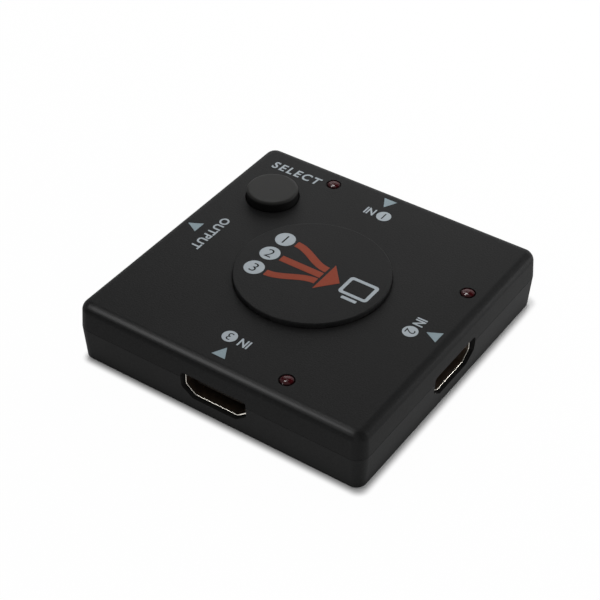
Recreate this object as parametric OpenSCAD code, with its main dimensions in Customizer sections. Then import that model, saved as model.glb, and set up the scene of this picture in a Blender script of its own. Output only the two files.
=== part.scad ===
// Square video switch box: two plastic shells round one circuit board, a flush socket in the middle of
// each side, a round select button and three indicator LEDs on the top.
// Millimetres, +Z up. The origin is on the table under the middle of the case, and -Y is the side of input 3.

/* [Case] */
// Width of the square case across its parting line
case_w = 66; // [60:1:80]
// Height from the table to the flat top
case_h = 13.6; // [13:0.1:18]
// Lean of each side from the parting line in to the top edge
top_draft = 0.2; // [0:0.05:0.5]
// Lean of each side from the parting line in to the base
base_draft = 0.5; // [0:0.05:0.8]
// Radius of the upright corners
corner_r = 2.6; // [2.2:0.1:5]
// Radius of the corners of the space inside
inner_corner_r = 0.9; // [0.4:0.1:1.4]
// Radius of the rounded edge round the top
edge_r = 2.2; // [1:0.1:2.6]
// Chamfer round the base
base_chamfer = 0.3; // [0.1:0.1:0.8]
// Thickness of the side walls at the base
wall = 1.7; // [1.4:0.1:2.2]
// Thickness of the top
roof_t = 2; // [1.6:0.1:2.4]
// Thickness of the floor
floor_t = 1.2; // [1:0.1:1.6]

/* [Parting line] */
// Height of the parting line above the table
seam_z = 7.7; // [7:0.1:8.4]
// Open width of the parting line
seam_gap = 0.05; // [0.05:0.05:0.3]
// Height of the lip of the lower shell above the parting line
lip_h = 1; // [0.8:0.1:1.4]
// Thickness of the lip
lip_t = 0.8; // [0.6:0.1:1]
// Clearance round the lip
lip_play = 0.08; // [0.05:0.01:0.15]

/* [Badge disc] */
// Diameter of the disc in the middle of the top
badge_d = 31.5; // [24:0.5:36]
// Height of the disc above the top
badge_rise = 1; // [0.5:0.1:1.6]
// Depth of the seat that the disc is glued into
badge_seat = 0.6; // [0.4:0.1:0.8]
// Radius of the edge of the disc
badge_edge = 0.25; // [0.1:0.05:0.4]
// Radial clearance of the disc in its seat
badge_play = 0.12; // [0.05:0.01:0.2]

/* [Select button] */
// Diameter of the button
button_d = 10.9; // [10.4:0.1:13]
// Height of the button above the top
button_rise = 2.1; // [1.2:0.1:3]
// Radius of the edge of the button
button_edge = 0.6; // [0.2:0.1:0.9]
// Distance of the button from the output side of the case
button_from_output = 11.4; // [10.5:0.1:13]
// Distance of the button from the input 1 side of the case
button_from_input_1 = 16; // [15:0.1:18]
// Radial clearance of the button in the top
button_play = 0.25; // [0.2:0.05:0.4]
// Wall of the hollow button
button_wall = 1.1; // [0.8:0.1:1.2]
// Thickness of the pressing face of the button
button_face_t = 1.4; // [1:0.1:1.8]
// Reach of the flange that keeps the button in, past the side of the button
flange_reach = 0.9; // [0.7:0.1:1.2]
// Thickness of that flange
flange_t = 0.8; // [0.6:0.1:1.2]
// Gap between the flange and the underside of the top
flange_drop = 0.2; // [0.1:0.05:0.4]
// Diameter of the stem inside the button
stem_d = 7; // [6.6:0.1:7.4]
// Depth of the stem's square socket
stem_grip = 2.4; // [1.6:0.1:2.8]
// Clearance of the square socket on the plunger
stem_play = 0.04; // [0.02:0.01:0.1]

/* [Push switch] */
// Width of the square push switch
switch_w = 12; // [11:0.1:13]
// Thickness of the metal plate on the housing
switch_plate_t = 0.3; // [0.2:0.05:0.5]
// Height of the plunger's tip above the board
switch_h = 7.3; // [7:0.1:8]
// Travel of the plunger
switch_travel = 0.3; // [0.2:0.05:0.4]
// Diameter of the well in the housing
switch_well_d = 8.8; // [8.6:0.1:9.4]
// Thickness of the housing under the well
switch_floor_t = 0.9; // [0.6:0.1:1.1]
// Diameter of the plunger's shaft
plunger_d = 6.6; // [6:0.1:7]
// Radial clearance of the plunger in the plate
plunger_play = 0.2; // [0.15:0.05:0.3]
// Reach of the plunger's collar past its shaft
plunger_collar = 0.7; // [0.5:0.1:0.8]
// Thickness of that collar
plunger_collar_t = 0.9; // [0.7:0.1:1]
// Height of the shaft above the plate
plunger_step = 0.7; // [0.5:0.1:1]
// Diameter of the nub that presses the dome
plunger_nub_d = 3.3; // [2.6:0.1:4]
// Length of that nub past the travel
plunger_nub_spare = 0.3; // [0.2:0.05:0.5]
// Width of the square tip of the plunger
plunger_tip_w = 3.8; // [3:0.1:4]
// Diameter of the snap dome
dome_d = 7.6; // [7:0.1:8.2]
// Height of the snap dome
dome_h = 0.7; // [0.6:0.05:0.8]
// Thickness of the snap dome
dome_t = 0.1; // [0.08:0.01:0.15]
// Width of a switch terminal
terminal_w = 1; // [0.6:0.1:1.4]
// Thickness of a switch terminal
terminal_t = 0.3; // [0.2:0.05:0.4]
// Height of the terminals above the board
terminal_rise = 1.6; // [1:0.1:2.4]
// Spacing of the terminals along a side
terminal_pitch = 5; // [3:0.1:7]

/* [Indicator LEDs] */
// Diameter of an LED
led_d = 3; // [2.6:0.1:3.4]
// Height of an LED with its flange
led_h = 5.3; // [4.6:0.1:6]
// Height of the LED above the top
led_rise = 0.35; // [0.2:0.05:0.8]
// Height of the domed tip of an LED
led_dome_h = 0.5; // [0.3:0.1:1.2]
// Radial clearance of the LED in the top
led_play = 0.1; // [0.05:0.05:0.2]
// Diameter of the flange of an LED
led_flange_d = 3.8; // [3.6:0.1:4.2]
// Thickness of that flange
led_flange_t = 1; // [0.8:0.1:1.2]
// Width of an LED lead
lead_w = 0.5; // [0.4:0.05:0.6]
// Spacing of the two leads
lead_pitch = 2.54; // [2.2:0.02:2.6]
// Height of the lead frame inside the lens
lead_frame_h = 3; // [2:0.1:3.4]
// Width of each post of the lead frame
lead_post_w = 0.7; // [0.5:0.05:0.8]
// Gap between the two posts
lead_post_gap = 0.5; // [0.3:0.05:0.6]
// Distance of LED 3 along its side from the middle of the side
led_3_along = 13.1; // [12:0.1:15]
// Distance of LED 3 in from its side
led_3_inset = 5.4; // [4.6:0.1:6]
// Distance of LED 2 along its side from the middle of the side
led_2_along = 12.8; // [12:0.1:15]
// Distance of LED 2 in from its side
led_2_inset = 5.2; // [4.6:0.1:6]
// Distance of LED 1 along its side from the middle of the side
led_1_along = 13.4; // [12:0.1:15]
// Distance of LED 1 in from its side
led_1_inset = 5.2; // [4.6:0.1:6]

/* [Sockets] */
// Width of the socket mouth
mouth_w = 14; // [13:0.1:15]
// Height of the socket mouth
mouth_h = 4.55; // [4.3:0.05:4.7]
// Width of the narrow floor of the mouth
mouth_floor_w = 9.6; // [9.2:0.1:10.6]
// Height of the slanted stretch beside the floor
mouth_slant_h = 1.75; // [1.4:0.05:2.2]
// Radius of the folds of the shell
mouth_fold_r = 0.5; // [0.2:0.05:0.8]
// Sheet thickness of the shell
shell_t = 0.3; // [0.2:0.05:0.4]
// Depth of the shell
socket_depth = 11.5; // [10:0.1:12.5]
// Distance of the shell's rim behind the side of the case
socket_recess = 1; // [0.6:0.1:1.6]
// Gap between the shell and the cut-out, at the sides
cutout_side = 0.25; // [0.15:0.05:0.6]
// Gap between the shell and the cut-out, at the floor
cutout_floor = 0.25; // [0.05:0.05:0.4]
// Gap between the shell and the cut-out, at the top
cutout_top = 0.3; // [0.05:0.05:0.4]
// Width of a shell leg
leg_w = 1.4; // [1:0.1:1.8]
// Distance of the front legs behind the rim
leg_front = 3.2; // [2.8:0.1:4]
// Distance of the rear legs behind the rim
leg_rear = 8.6; // [7:0.1:9]

/* [Tongue and contacts] */
// Width of the tongue
tongue_w = 10.4; // [10:0.1:11]
// Thickness of the tongue
tongue_t = 1.1; // [0.9:0.05:1.3]
// Height of the tongue above the floor of the mouth
tongue_lift = 1.75; // [1.5:0.05:1.9]
// Distance of the tongue's tip behind the rim
tongue_recess = 1.5; // [1:0.1:2]
// Length of the block that closes the back of the shell
block_l = 3.2; // [2.6:0.1:4]
// Clearance of the block in the shell
block_play = 0.03; // [0.02:0.01:0.06]
// Width of a contact
contact_w = 0.3; // [0.25:0.05:0.35]
// Thickness of a contact
contact_t = 0.15; // [0.1:0.01:0.2]
// Depth of a contact's groove in the tongue
contact_bed = 0.1; // [0.06:0.01:0.14]
// Spacing of the contacts in a row
contact_pitch = 1; // [0.9:0.02:1.02]
// Distance of the contacts behind the tongue's tip
contact_back = 0.6; // [0.4:0.1:1]
// Clearance of a contact in its groove
contact_play = 0.03; // [0.02:0.01:0.05]
// Length of a contact between the block and its bend
tail_out = 0.8; // [0.4:0.1:1]
// Length of a contact's foot on the board
tail_foot = 1; // [0.6:0.1:1.2]

/* [Circuit board] */
// Thickness of the board
board_t = 1.2; // [0.8:0.1:1.6]
// Height of the board above the floor
board_lift = 1; // [1:0.05:1.4]
// Gap between the board and the case walls
board_gap = 0.3; // [0.2:0.05:0.6]
// Corner radius of the board
board_corner_r = 1; // [0.4:0.1:2]
// Reach of legs, terminals and leads below the board
pin_reach = 0.6; // [0.4:0.05:0.7]
// Clearance of legs, terminals and leads in the board
pin_play = 0.2; // [0.1:0.05:0.3]

/* [Screws] */
// Distance of the screws from the sides of the case
screw_inset = 5.2; // [5:0.1:6]
// Diameter of a screw
screw_d = 2.2; // [1.8:0.1:2.6]
// Diameter of a screw head
screw_head_d = 4.2; // [3.8:0.1:4.6]
// Thickness of a screw head
screw_head_t = 1.2; // [0.9:0.1:1.3]
// Depth of a screw head below the base
screw_sink = 0.2; // [0.1:0.05:0.3]
// Bite of a screw into the boss above the board
screw_bite = 5.6; // [4:0.1:6.2]
// Radial clearance of a screw in the lower shell and the board
screw_play = 0.2; // [0.1:0.05:0.3]
// Radial clearance of a screw in its boss
thread_play = 0.03; // [0.02:0.01:0.05]
// Width of the cross in a screw head
cross_w = 0.6; // [0.4:0.1:0.8]
// Length of the cross in a screw head
cross_l = 2.4; // [1.8:0.1:3]
// Depth of the cross in a screw head
cross_h = 0.6; // [0.4:0.1:0.7]
// Diameter of a boss of the upper shell
boss_d = 5.4; // [4.8:0.1:6]
// Wall of a post of the lower shell round the screw head
post_wall = 1; // [0.8:0.1:1.2]

/* [Board parts] */
// Width of the routing chip
routing_chip_w = 10; // [9:0.5:12]
// Thickness of the routing chip
routing_chip_t = 1; // [0.8:0.1:1.4]
// Leads on each side of the routing chip
routing_lead_n = 16; // [8:1:16]
// Spacing of the routing chip's leads
routing_lead_pitch = 0.5; // [0.45:0.01:0.55]
// Width of a routing chip lead
routing_lead_w = 0.22; // [0.16:0.02:0.28]
// Length of the control chip
control_chip_l = 4.9; // [4.6:0.1:5.6]
// Width of the control chip
control_chip_w = 3.9; // [3.4:0.1:4.2]
// Thickness of the control chip
control_chip_t = 1.4; // [1:0.1:1.8]
// Leads on each side of the control chip
control_lead_n = 4; // [2:1:4]
// Spacing of the control chip's leads
control_lead_pitch = 1.27; // [1:0.01:1.3]
// Width of a control chip lead
control_lead_w = 0.4; // [0.3:0.05:0.5]
// Length of the voltage regulator
regulator_l = 6.5; // [6:0.1:7]
// Width of the voltage regulator
regulator_w = 3.5; // [3:0.1:4]
// Thickness of the voltage regulator
regulator_t = 1.6; // [1.2:0.1:2]
// Spacing of the voltage regulator's three leads
regulator_lead_pitch = 2.3; // [2:0.05:2.5]
// Width of a voltage regulator lead
regulator_lead_w = 0.7; // [0.5:0.05:0.9]
// Width of the regulator's cooling tab
regulator_tab_w = 3; // [2.6:0.1:3.4]
// Sheet thickness of the chip leads
lead_t = 0.12; // [0.1:0.01:0.2]
// Height of the chips above the board
chip_lift = 0.1; // [0.05:0.05:0.2]
// Reach of the chip leads past the chip
lead_reach = 1; // [0.8:0.1:1.2]
// Distance of the outer chips from the middle of the board
outer_chip_at = 11; // [10.5:0.1:11.5]
// Length of a supply diode
diode_l = 2.7; // [2:0.1:3]
// Width of a supply diode
diode_w = 1.6; // [1.2:0.1:1.8]
// Height of a supply diode
diode_t = 1.1; // [0.8:0.1:1.4]
// Spacing of the supply diodes
diode_pitch = 2.6; // [2.2:0.1:2.8]
// Length of a chip capacitor or resistor
passive_l = 1.6; // [1.2:0.1:1.8]
// Width of a chip capacitor or resistor
passive_w = 0.8; // [0.6:0.1:1]
// Height of a chip capacitor
capacitor_t = 0.8; // [0.5:0.05:1]
// Height of a chip resistor
resistor_t = 0.45; // [0.3:0.05:0.6]
// Spacing of the capacitors and resistors in a row
passive_pitch = 2.4; // [2:0.1:2.6]
// Gap between the routing chip, the capacitors and the resistors
passive_gap = 0.8; // [0.4:0.1:1]

/* [Hidden] */

$fn = 96;
// Facets of the corners that the shells are stretched over
form_fn = 48;
// Spare length of a cut past the face it opens
cut = 1;
// Depth that joined shapes share, so that they become one solid
sink = 0.2;
// Steps in each fold of the socket outline
fold_n = 5;
// Thickness of the thin slices that the shells are stretched over
slice = 0.05;

// Finishes as the eye sees them
case_black = "#2b2c2d";
disc_black = "#262728";
button_grey = "#3a3b3c";
metal_rim = "#d8cfc0";
mouth_black = "#15120f";
gold = "#b8963e";
lens_red = "#5a1418";
board_green = "#1f4d2e";
chip_black = "#1c1c1d";
steel = "#b9bbbd";
ceramic_tan = "#a88b64";

// Sides of the case in turn, and the LEDs of the first three with their places
SIDES = ["input_3", "input_2", "input_1", "output"];
LEDS = ["led_3", "led_2", "led_1"];
led_along = [led_3_along, led_2_along, led_1_along];
led_inset = [led_3_inset, led_2_inset, led_1_inset];

// Heights of the stack
board_z = floor_t + board_lift;
board_top = board_z + board_t;
roof_z = case_h - roof_t;
pin_z = board_z - pin_reach;
upper_z = seam_z + seam_gap / 2;
lower_z = seam_z - seam_gap / 2;
mouth_z = board_top + shell_t;

// Plan of the case
inner_half = case_w / 2 - base_draft - wall;
top_corner_r = max(corner_r, edge_r);
board_half = inner_half - board_gap;
screw_at = case_w / 2 - screw_inset;

// Places along a socket, from its rim in towards the middle of the case
rim_y = socket_recess - case_w / 2;
back_y = rim_y + socket_depth;
tongue_y = rim_y + tongue_recess;
contact_y = tongue_y + contact_back;
bend_y = back_y + tail_out;
tail_y = bend_y + contact_t + tail_foot;
tongue_z = mouth_z + tongue_lift;
tongue_top = tongue_z + tongue_t;
upper_bed = tongue_top - contact_bed;
lower_bed = tongue_z + contact_bed;
upper_n = 10;
lower_n = 9;

// Gap between pieces of the push switch that rest on each other
touch = 0.03;

// Button and push switch
button_at = [button_from_output - case_w / 2, case_w / 2 - button_from_input_1, 0];
button_top = case_h + button_rise;
flange_top = roof_z - flange_drop;
dome_z = board_top + switch_floor_t;
dome_top = dome_z + dome_h;
collar_z = dome_top + touch + switch_travel + plunger_nub_spare;
collar_top = collar_z + plunger_collar_t;
switch_top = collar_top + touch;
plate_top = switch_top + switch_plate_t;
shaft_top = plate_top + plunger_step;
tip_z = board_top + switch_h;
dome_r = (pow(dome_d / 2, 2) + pow(dome_h, 2)) / (2 * dome_h);

// LEDs
led_base = case_h + led_rise - led_h;

// Chips, and the rows of small parts round the routing chip
chip_z = board_top + chip_lift;
capacitor_at = routing_chip_w / 2 + lead_reach + passive_gap + passive_w / 2;
resistor_at = capacitor_at + passive_w + passive_gap;
capacitor_n = 3;
resistor_n = 4;
regulator_lead_n = 3;
diode_n = 3;

// Puts children at one side of the case, or at one LED, with -Y pointing out of that side
module at_side(k) {
    rotate([0, 0, 90 * k])
        children();
}

module at_led(k) {
    at_side(k)
        translate([led_along[k], led_inset[k] - case_w / 2, 0])
            children();
}

module at_corners(x, y) {
    for (i = [-1, 1], j = [-1, 1])
        translate([i * x, j * y, 0])
            children();
}

// Upright square prism with round corners
module prism(half, r, z0, z1) {
    translate([0, 0, z0])
        linear_extrude(z1 - z0) {
            square([2 * half, 2 * (half - r)], center = true);
            square([2 * (half - r), 2 * half], center = true);
            at_corners(half - r, half - r)
                circle(r);
        }
}

// Box given by its middle in plan, its plan size and its two heights
module block(x, y, w, l, z0, z1) {
    translate([x - w / 2, y - l / 2, z0])
        cube([w, l, z1 - z0]);
}

// Extrudes an outline drawn in the plane of Y and Z, centred across X
module across(w, outline) {
    translate([-w / 2, 0, 0])
        rotate([90, 0, 90])
            linear_extrude(w)
                polygon(outline);
}

// Extrudes an outline drawn in the plane of X and Z, from y0 to y1
module along(y0, y1, outline) {
    translate([0, y1, 0])
        rotate([90, 0, 0])
            linear_extrude(y1 - y0)
                polygon(outline);
}

function unit(v) = v / norm(v);

// Points of the arc that rounds the corner b between a and c
function corner_arc(a, b, c, r, n) =
    let (u = unit(a - b),
         v = unit(c - b),
         half = acos(u * v) / 2,
         hub = b + unit(u + v) * r / sin(half),
         p = b + u * r / tan(half) - hub,
         q = b + v * r / tan(half) - hub,
         start = atan2(p[1], p[0]),
         sweep = atan2(q[1], q[0]) - start,
         turn = sweep - 360 * round(sweep / 360))
    [for (i = [0:n]) hub + r * [cos(start + turn * i / n), sin(start + turn * i / n)]];

function rounded(pts, r, n = fold_n) =
    let (last = len(pts))
    [for (i = [0:last - 1])
        each corner_arc(pts[(i + last - 1) % last], pts[i], pts[(i + 1) % last], r, n)];

// Outline of the socket mouth, wide above and narrow below, grown at its sides, floor, top and slants
function mouth_outline(side, base, top, slant, fold) =
    let (run = (mouth_w - mouth_floor_w) / 2,
         edge = norm([run, mouth_slant_h]),
         x0 = mouth_floor_w / 2 + (slant * edge - base * run) / mouth_slant_h,
         x1 = mouth_w / 2 + side,
         z0 = mouth_z - base,
         z1 = mouth_z + ((run + side) * mouth_slant_h - slant * edge) / run,
         z2 = mouth_z + mouth_h + top)
    rounded([[-x1, z2], [-x1, z1], [-x0, z0], [x0, z0], [x1, z1], [x1, z2]], fold);

// The same outline grown alike all round
function grown_mouth(by, fold) = mouth_outline(by, by, by, by, fold);

// Cut-outs of the case for the four sockets
module socket_cutouts() {
    outline = mouth_outline(shell_t + cutout_side, shell_t + cutout_floor, shell_t + cutout_top,
                            shell_t + (cutout_side + cutout_floor) / 2, mouth_fold_r + shell_t);
    for (k = [0:3])
        at_side(k)
            along(-case_w / 2 - cut, -inner_half + cut, outline);
}

// One round corner of the top edge
module top_corner() {
    rotate_extrude($fn = form_fn)
        translate([top_corner_r - edge_r, 0])
            intersection() {
                circle(edge_r, $fn = form_fn);
                square(edge_r);
            }
}

module upper_form() {
    seam_at = case_w / 2 - corner_r;
    top_at = case_w / 2 - top_draft - top_corner_r;
    hull() {
        at_corners(seam_at, seam_at)
            translate([0, 0, upper_z])
                cylinder(r = corner_r, h = slice, $fn = form_fn);
        at_corners(top_at, top_at)
            translate([0, 0, case_h - edge_r])
                top_corner();
    }
}

module lower_form() {
    seam_at = case_w / 2 - corner_r;
    base_r = corner_r - base_draft;
    hull()
        at_corners(seam_at, seam_at) {
            translate([0, 0, lower_z - slice])
                cylinder(r = corner_r, h = slice, $fn = form_fn);
            translate([0, 0, base_chamfer])
                cylinder(r = base_r, h = slice, $fn = form_fn);
            cylinder(r = base_r - base_chamfer, h = slice, $fn = form_fn);
        }
}

// Upper shell: open below, with four bosses that clamp the board and take the screws
module top_cover() {
    rabbet = lip_t + lip_play;
    rabbet_top = seam_z + lip_h + lip_play;
    color(case_black)
        difference() {
            union() {
                difference() {
                    upper_form();
                    prism(inner_half, inner_corner_r, upper_z - cut, roof_z);
                    prism(inner_half + rabbet, inner_corner_r + rabbet, upper_z - cut, rabbet_top);
                }
                at_corners(screw_at, screw_at)
                    translate([0, 0, board_top])
                        cylinder(d = boss_d, h = roof_z + sink - board_top);
            }
            at_corners(screw_at, screw_at)
                translate([0, 0, board_top - cut])
                    cylinder(r = screw_d / 2 + thread_play, h = cut + screw_bite + sink);
            translate([0, 0, case_h - badge_seat])
                cylinder(r = badge_d / 2 + badge_play, h = badge_seat + cut);
            translate(button_at + [0, 0, roof_z - cut])
                cylinder(r = button_d / 2 + button_play, h = roof_t + 2 * cut);
            for (k = [0:2])
                at_led(k)
                    translate([0, 0, roof_z - cut])
                        cylinder(r = led_d / 2 + led_play, h = roof_t + 2 * cut);
            socket_cutouts();
        }
}

// Lower shell: a tray with a lip that lines up the upper shell, and a post under each corner of the board
module bottom_cover() {
    head_r = screw_head_d / 2 + screw_play;
    color(case_black)
        difference() {
            union() {
                difference() {
                    lower_form();
                    prism(inner_half, inner_corner_r, floor_t, lower_z + cut);
                }
                difference() {
                    prism(inner_half + lip_t, inner_corner_r + lip_t, lower_z - sink, seam_z + lip_h);
                    prism(inner_half, inner_corner_r, lower_z - cut, seam_z + lip_h + cut);
                }
                at_corners(screw_at, screw_at)
                    translate([0, 0, floor_t - sink])
                        cylinder(r = head_r + post_wall, h = board_z - floor_t + sink);
            }
            at_corners(screw_at, screw_at) {
                translate([0, 0, -cut])
                    cylinder(r = screw_d / 2 + screw_play, h = board_z + 2 * cut);
                translate([0, 0, -cut])
                    cylinder(r = head_r, h = cut + screw_sink + screw_head_t);
            }
            socket_cutouts();
        }
}

// Raised disc, glued into its seat in the top
module badge_disc() {
    r = badge_d / 2;
    top = case_h + badge_rise;
    hub = [r - badge_edge, top - badge_edge];
    rim = [for (a = [0:15:90]) hub + badge_edge * [cos(a), sin(a)]];
    color(disc_black)
        rotate_extrude()
            polygon(concat([[0, case_h - badge_seat], [r, case_h - badge_seat]], rim, [[0, top]]));
}

// Four self-tapping screws, set from below
module case_screws() {
    head_top = screw_sink + screw_head_t;
    color(steel)
        at_corners(screw_at, screw_at)
            difference() {
                union() {
                    translate([0, 0, screw_sink])
                        cylinder(d = screw_head_d, h = screw_head_t);
                    translate([0, 0, head_top - sink])
                        cylinder(d = screw_d, h = board_top + screw_bite - head_top + sink);
                }
                block(0, 0, cross_l, cross_w, screw_sink - cut, screw_sink + cross_h);
                block(0, 0, cross_w, cross_l, screw_sink - cut, screw_sink + cross_h);
            }
}

// Square board with holes for the screws, shell legs, switch terminals and LED leads
module circuit_board() {
    color(board_green)
        difference() {
            prism(board_half, board_corner_r, board_z, board_top);
            at_corners(screw_at, screw_at)
                translate([0, 0, board_z - cut])
                    cylinder(r = screw_d / 2 + screw_play, h = board_t + 2 * cut);
            for (k = [0:3])
                at_side(k)
                    shell_legs(pin_play, board_z - cut, board_top + cut);
            terminal_pins(pin_play, board_z - cut, board_top + cut);
            for (k = [0:2])
                at_led(k)
                    lead_pins(pin_play, board_z - cut, board_top + cut);
        }
}

// Four legs of a socket shell, or with some play the slots that they go through
module shell_legs(play, z0, z1) {
    for (x = [-1, 1], y = [leg_front, leg_rear])
        block(x * (mouth_w + shell_t) / 2, rim_y + y, shell_t + 2 * play, leg_w + 2 * play, z0, z1);
}

// Folded sheet-metal shell of a socket, with four legs through the board
module socket_shell(k) {
    color(metal_rim)
        at_side(k) {
            difference() {
                along(rim_y, back_y, grown_mouth(shell_t, mouth_fold_r + shell_t));
                along(rim_y - cut, back_y + cut, grown_mouth(0, mouth_fold_r));
            }
            shell_legs(0, pin_z, mouth_z + mouth_h - mouth_fold_r);
        }
}

// A row of contacts centred across the socket, each from the same side outline
module contact_row(n, w, outline) {
    for (i = [0:n - 1])
        translate([(i - (n - 1) / 2) * contact_pitch, 0, 0])
            across(w, outline);
}

// Side outline of a contact: along the tongue, out of the block, down to the board and back on its foot
function contact_outline(bed) =
    [[contact_y, bed], [contact_y, bed + contact_t], [bend_y + contact_t, bed + contact_t],
     [bend_y + contact_t, board_top + contact_t], [tail_y, board_top + contact_t], [tail_y, board_top],
     [bend_y, board_top], [bend_y, bed]];

// Side outline of the groove that holds a contact, between two heights
function groove_outline(z0, z1) =
    [[contact_y - contact_play, z0], [contact_y - contact_play, z1], [back_y + cut, z1], [back_y + cut, z0]];

// Plastic block with the tongue that carries the contacts
module socket_insulator(k) {
    groove_w = contact_w + 2 * contact_play;
    groove_h = contact_t + contact_play;
    color(mouth_black)
        at_side(k)
            difference() {
                union() {
                    along(back_y - block_l, back_y, grown_mouth(-block_play, mouth_fold_r));
                    block(0, (tongue_y + back_y) / 2, tongue_w, back_y - tongue_y, tongue_z, tongue_top);
                }
                contact_row(upper_n, groove_w, groove_outline(upper_bed, upper_bed + groove_h));
                contact_row(lower_n, groove_w, groove_outline(lower_bed - groove_h, lower_bed));
            }
}

// Spring-metal contacts of a socket, one row above the tongue and one below
module socket_contacts(k) {
    color(gold)
        at_side(k) {
            contact_row(upper_n, contact_w, contact_outline(upper_bed));
            contact_row(lower_n, contact_w, contact_outline(lower_bed - contact_t));
        }
}

// Square housing of the push switch, with a round well for the dome and the plunger's collar
module switch_housing() {
    color(chip_black)
        translate(button_at)
            difference() {
                block(0, 0, switch_w, switch_w, board_top, switch_top);
                translate([0, 0, dome_z])
                    cylinder(d = switch_well_d, h = switch_top - dome_z + cut);
            }
}

// Four flat terminals against two sides of the housing, or with some play their slots in the board
module terminal_pins(play, z0, z1) {
    for (x = [-1, 1], y = [-1, 1])
        translate(button_at)
            block(x * (switch_w + terminal_t) / 2, y * terminal_pitch / 2,
                  terminal_t + 2 * play, terminal_w + 2 * play, z0, z1);
}

module switch_terminals() {
    color(steel)
        terminal_pins(0, pin_z, board_top + terminal_rise);
}

// Shallow sprung dome that snaps through when the button is pressed
module switch_dome() {
    hub_z = dome_top - dome_r;
    reach = asin(dome_d / 2 / dome_r);
    outer = [for (i = [0:12]) [0, hub_z] + dome_r * [sin(reach * i / 12), cos(reach * i / 12)]];
    inner = [for (p = outer) p - [0, dome_t]];
    color(steel)
        translate(button_at)
            rotate_extrude()
                polygon(concat([for (i = [0:11]) outer[i]],
                               [[dome_d / 2, dome_z], [dome_d / 2 - dome_t, dome_z]],
                               [for (i = [11:-1:0]) inner[i]]));
}

// Plunger: a nub on the dome, a collar under the plate, a round shaft and a square tip
module switch_plunger() {
    collar_r = plunger_d / 2 + plunger_collar;
    nub_r = plunger_nub_d / 2;
    nub = [[0, dome_top + touch], [nub_r, dome_top + touch], [nub_r, collar_z]];
    collar = [[collar_r, collar_z], [collar_r, collar_top], [plunger_d / 2, collar_top]];
    shaft = [[plunger_d / 2, shaft_top], [0, shaft_top]];
    color(button_grey)
        translate(button_at) {
            rotate_extrude()
                polygon(concat(nub, collar, shaft));
            block(0, 0, plunger_tip_w, plunger_tip_w, shaft_top - sink, tip_z);
        }
}

// Metal plate that closes the housing round the plunger
module switch_cover_plate() {
    color(steel)
        translate(button_at)
            difference() {
                block(0, 0, switch_w, switch_w, switch_top, plate_top);
                translate([0, 0, switch_top - cut])
                    cylinder(r = plunger_d / 2 + plunger_play, h = switch_plate_t + 2 * cut);
            }
}

// Hollow button with a retaining flange, and a stem that grips the square tip of the plunger
module select_button() {
    r = button_d / 2;
    hub = [r - button_edge, button_top - button_edge];
    edge = [for (a = [0:10:90]) hub + button_edge * [cos(a), sin(a)]];
    flange_z = flange_top - flange_t;
    stem_z = tip_z - stem_grip;
    face_z = button_top - button_face_t;
    inside = r - button_wall;
    grip_w = plunger_tip_w + 2 * stem_play;
    hollow = [[stem_d / 2, face_z], [inside, face_z], [inside, flange_z]];
    flange = [[r + flange_reach, flange_z], [r + flange_reach, flange_top], [r, flange_top]];
    stem = [[0, button_top], [0, stem_z], [stem_d / 2, stem_z]];
    color(button_grey)
        translate(button_at)
            difference() {
                rotate_extrude()
                    polygon(concat(hollow, flange, edge, stem));
                block(0, 0, grip_w, grip_w, stem_z - cut, tip_z);
            }
}

// Moulded lens of an LED: a round body with a domed tip and a flange at its foot
module led_lens(k) {
    r = led_d / 2;
    flange_r = led_flange_d / 2;
    shelf = led_base + led_flange_t;
    foot = [[0, led_base], [flange_r, led_base], [flange_r, shelf], [r, shelf]];
    cap_r = (r * r + led_dome_h * led_dome_h) / (2 * led_dome_h);
    reach = asin(min(1, r / cap_r));
    hub = [0, led_base + led_h - cap_r];
    tip = [for (i = [8:-1:0]) hub + cap_r * [sin(reach * i / 8), cos(reach * i / 8)]];
    color(lens_red)
        at_led(k)
            difference() {
                rotate_extrude()
                    polygon(concat(foot, tip));
                lead_frame();
            }
}

// Two leads of an LED below its flange, or with some play their holes in the board
module lead_pins(play, z0, z1) {
    for (x = [-1, 1])
        block(x * lead_pitch / 2, 0, lead_w + 2 * play, lead_w + 2 * play, z0, z1);
}

// Lead frame moulded into the lens: on each side the end of a lead, a step in the flange and a post
module lead_frame() {
    shoulder = led_base + led_flange_t / 2;
    step_z = shoulder - lead_w / 2;
    outer = (lead_pitch + lead_w) / 2;
    inner = lead_post_gap / 2;
    lead_pins(0, led_base, shoulder);
    for (turn = [0, 180])
        rotate([0, 0, turn]) {
            block((inner + outer) / 2, 0, outer - inner, lead_w, step_z, shoulder);
            block(inner + lead_post_w / 2, 0, lead_post_w, lead_w, step_z, led_base + lead_frame_h);
        }
}

module led_leads(k) {
    color(steel)
        at_led(k) {
            lead_pins(0, pin_z, led_base);
            lead_frame();
        }
}

// Side outline of a bent chip lead that reaches away from y = 0 at one height and down to the board
function lead_outline(z) =
    let (y0 = (lead_reach - lead_t) / 2,
         y1 = (lead_reach + lead_t) / 2,
         z0 = z - lead_t / 2,
         z1 = z + lead_t / 2,
         foot = board_top + lead_t)
    [[0, z0], [0, z1], [y1, z1], [y1, foot], [lead_reach, foot],
     [lead_reach, board_top], [y0, board_top], [y0, z0]];

// A row of bent leads along the edge of a chip, at a distance from its middle
module lead_row(n, pitch, w, edge, z) {
    for (i = [0:n - 1])
        translate([(i - (n - 1) / 2) * pitch, edge, 0])
            across(w, lead_outline(z));
}

// Square chip that joins one of the inputs to the output
module routing_chip() {
    color(chip_black)
        block(0, 0, routing_chip_w, routing_chip_w, chip_z, chip_z + routing_chip_t);
}

module routing_chip_leads() {
    color(steel)
        for (k = [0:3])
            at_side(k)
                lead_row(routing_lead_n, routing_lead_pitch, routing_lead_w, routing_chip_w / 2,
                         chip_z + routing_chip_t / 2);
}

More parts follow.
